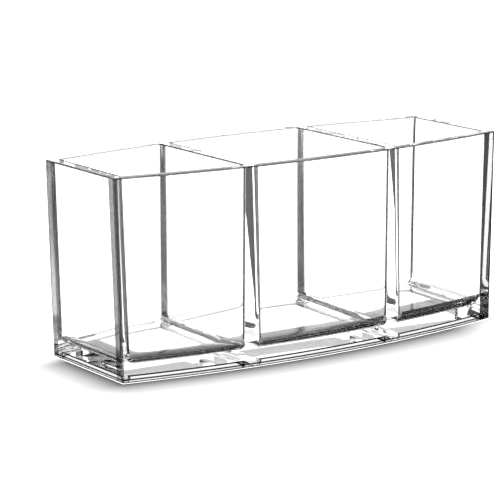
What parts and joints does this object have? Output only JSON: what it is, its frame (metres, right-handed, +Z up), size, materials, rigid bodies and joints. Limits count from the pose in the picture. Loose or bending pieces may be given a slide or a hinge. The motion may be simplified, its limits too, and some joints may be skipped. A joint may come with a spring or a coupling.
{
  "type": "makeup brush holder",
  "caption": "Clear open-top desk holder for makeup brushes: bowed long walls, straight leaning ends, and fixed upright dividers between compartments with coved floors.",
  "frame": {"origin": "on the table, under the middle of the holder", "axes": "+X along the length to the right as seen from the front, +Y to the back, +Z up"},
  "size_m": [0.1828, 0.0712, 0.0787],
  "materials": {
    "clear_acrylic": "clear, polished"
  },
  "bodies": {
    "root": {"front_wall": "clear_acrylic", "rear_wall": "clear_acrylic", "left_end_wall": "clear_acrylic", "right_end_wall": "clear_acrylic", "left_divider": "clear_acrylic", "right_divider": "clear_acrylic", "left_floor": "clear_acrylic", "middle_floor": "clear_acrylic", "right_floor": "clear_acrylic"}
  },
  "joints": []
}
